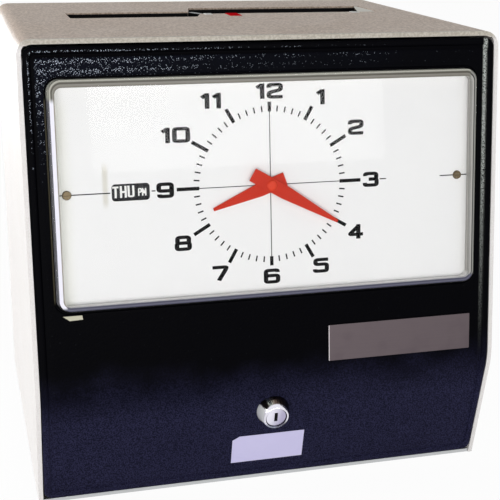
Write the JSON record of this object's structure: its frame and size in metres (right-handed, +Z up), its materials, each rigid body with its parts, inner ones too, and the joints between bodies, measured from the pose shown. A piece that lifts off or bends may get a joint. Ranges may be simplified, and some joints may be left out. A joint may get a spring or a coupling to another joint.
{
  "type": "time clock",
  "caption": "Upright time clock with a dial behind a clear lens, a stepped card slot in its top and a lockable front that hinges up.",
  "frame": {"origin": "middle of the object's outline, at the level of the surface that its feet stand on", "axes": "+Z up, the front with the dial faces -Y, +X is to the right when facing the dial"},
  "size_m": [0.26, 0.224, 0.2584],
  "materials": {
    "case_putty": "fine moulded texture",
    "front_black": "leather grain",
    "black_moulding": "satin",
    "zinc_steel": "zinc plated",
    "frame_grey": "satin paint",
    "foot_rubber": "matte",
    "dial_white": "satin enamel",
    "hand_red": "satin paint",
    "lens_clear": "polished clear",
    "plate_taupe": "brushed, tinted",
    "label_white": "film",
    "lock_chrome": "polished",
    "gear_brass": "machined",
    "coil_copper": "varnished winding",
    "drum_charcoal": "satin",
    "spool_plastic": "moulded",
    "ribbon_ink": "inked",
    "mark_red": "printed",
    "mark_white": "printed"
  },
  "bodies": {
    "clock_body": {"case_shell": "case_putty", "base_plate": "zinc_steel", "back_plate": "zinc_steel", "rubber_feet": "foot_rubber", "case_screws": "zinc_steel", "cord_bushing": "black_moulding", "red_index_mark": "mark_red", "white_index_marks": "mark_white", "card_throat": "black_moulding", "chute_front_plate": "zinc_steel", "chute_rear_plate": "zinc_steel", "card_guide": "zinc_steel", "left_side_frame": "frame_grey", "right_side_frame": "frame_grey", "movement_plate": "zinc_steel", "dial_plate": "dial_white", "dial_screws": "zinc_steel", "movement_rear_plate": "zinc_steel", "movement_pillars": "gear_brass", "motor": "zinc_steel", "calendar_bracket": "zinc_steel", "calendar_shaft": "zinc_steel", "type_wheel_bracket": "frame_grey", "type_wheel_shaft": "zinc_steel", "ribbon_plate": "frame_grey", "ribbon": "ribbon_ink", "hammer_bracket": "frame_grey", "hammer_shaft": "zinc_steel", "solenoid": "coil_copper", "solenoid_bracket": "frame_grey", "microswitch": "black_moulding", "switch_bracket": "frame_grey", "hammer_spring": "zinc_steel", "hinge_pins": "zinc_steel"},
    "front": {"front_panel": "front_black", "dial_lens": "lens_clear", "lens_clips": "zinc_steel", "nameplate": "plate_taupe", "blank_label": "label_white", "lock_barrel": "lock_chrome", "lock_nut": "zinc_steel"},
    "lock_core": {"lock_plug": "lock_chrome", "lock_cam": "zinc_steel"},
    "minute_body": {"minute_arbor": "gear_brass", "minute_hand": "hand_red", "hand_cap": "hand_red"},
    "hour_body": {"hour_wheel": "gear_brass", "hour_hand": "hand_red"},
    "minute_wheel_body": {"minute_wheel": "gear_brass"},
    "motor_pinion_body": {"motor_pinion": "gear_brass"},
    "day_drum_body": {"day_drum": "drum_charcoal"},
    "half_day_drum_body": {"half_day_drum": "drum_charcoal"},
    "minute_type_body": {"minute_type_wheel": "gear_brass"},
    "hour_type_body": {"hour_type_wheel": "gear_brass"},
    "date_type_body": {"date_type_wheel": "gear_brass"},
    "supply_spool_body": {"supply_spool": "spool_plastic"},
    "takeup_spool_body": {"takeup_spool": "spool_plastic"},
    "hammer_body": {"hammer": "frame_grey"},
    "plunger_body": {"solenoid_plunger": "zinc_steel"},
    "card_lever_body": {"card_lever": "zinc_steel"}
  },
  "joints": [
    {"name": "front_hinge", "type": "hinge", "parent": "clock_body", "child": "front", "pos_m": [0, -0.08104, 0.2466], "axis": [-1, 0, 0], "range_deg": [0, 85]},
    {"name": "lock_turn", "type": "hinge", "parent": "front", "child": "lock_core", "pos_m": [0, -0.10347, 0.05329], "axis": [0, 0.9774, 0.2113], "range_deg": [0, 90]},
    {"name": "minute_turn", "type": "hinge", "parent": "clock_body", "child": "minute_body", "pos_m": [0, -0.0899, 0.17957], "axis": [0, 0.9923, -0.1236], "continuous": true},
    {"name": "hour_turn", "type": "hinge", "parent": "clock_body", "child": "hour_body", "pos_m": [0, -0.0899, 0.17957], "axis": [0, 0.9923, -0.1236], "continuous": true},
    {"name": "minute_wheel_turn", "type": "hinge", "parent": "clock_body", "child": "minute_wheel_body", "pos_m": [0, -0.09208, 0.20251], "axis": [0, 0.9923, -0.1236], "continuous": true},
    {"name": "motor_pinion_turn", "type": "hinge", "parent": "clock_body", "child": "motor_pinion_body", "pos_m": [0, -0.0982, 0.15339], "axis": [0, 0.9923, -0.1236], "continuous": true},
    {"name": "day_drum_turn", "type": "hinge", "parent": "clock_body", "child": "day_drum_body", "pos_m": [-0.0799, -0.07541, 0.17776], "axis": [1, 0, 0], "continuous": true},
    {"name": "half_day_drum_turn", "type": "hinge", "parent": "clock_body", "child": "half_day_drum_body", "pos_m": [-0.069, -0.07541, 0.17776], "axis": [1, 0, 0], "continuous": true},
    {"name": "minute_type_turn", "type": "hinge", "parent": "clock_body", "child": "minute_type_body", "pos_m": [0.025, 0.01036, 0.166], "axis": [1, 0, 0], "continuous": true},
    {"name": "hour_type_turn", "type": "hinge", "parent": "clock_body", "child": "hour_type_body", "pos_m": [0.036, 0.01036, 0.166], "axis": [1, 0, 0], "continuous": true},
    {"name": "date_type_turn", "type": "hinge", "parent": "clock_body", "child": "date_type_body", "pos_m": [0.047, 0.01036, 0.166], "axis": [1, 0, 0], "continuous": true},
    {"name": "supply_spool_turn", "type": "hinge", "parent": "clock_body", "child": "supply_spool_body", "pos_m": [-0.01, 0.00197, 0.158], "axis": [0, 0, 1], "continuous": true},
    {"name": "takeup_spool_turn", "type": "hinge", "parent": "clock_body", "child": "takeup_spool_body", "pos_m": [0.09, 0.00197, 0.158], "axis": [0, 0, 1], "continuous": true},
    {"name": "hammer_swing", "type": "hinge", "parent": "clock_body", "child": "hammer_body", "pos_m": [0.04, 0.04537, 0.124], "axis": [1, 0, 0], "range_deg": [0, 12], "stiffness_Nm_per_rad": 0.15, "springref_deg": -5.73},
    {"name": "plunger_slide", "type": "slide", "parent": "clock_body", "child": "plunger_body", "axis": [0, 1, 0], "range_m": [0, 0.0051]},
    {"name": "lever_press", "type": "hinge", "parent": "clock_body", "child": "card_lever_body", "pos_m": [0.032, 0.02196, 0.104], "axis": [-1, 0, 0], "range_deg": [0, 20], "stiffness_Nm_per_rad": 0.01, "springref_deg": -5.73}
  ],
  "couplings": [
    {"joint": "hour_turn", "follows": "minute_turn", "ratio": 0.083333},
    {"joint": "minute_wheel_turn", "follows": "minute_turn", "ratio": -0.33333},
    {"joint": "motor_pinion_turn", "follows": "minute_turn", "ratio": -5},
    {"joint": "takeup_spool_turn", "follows": "supply_spool_turn", "ratio": 1},
    {"joint": "plunger_slide", "follows": "hammer_swing", "m_per_rad": 0.024}
  ]
}
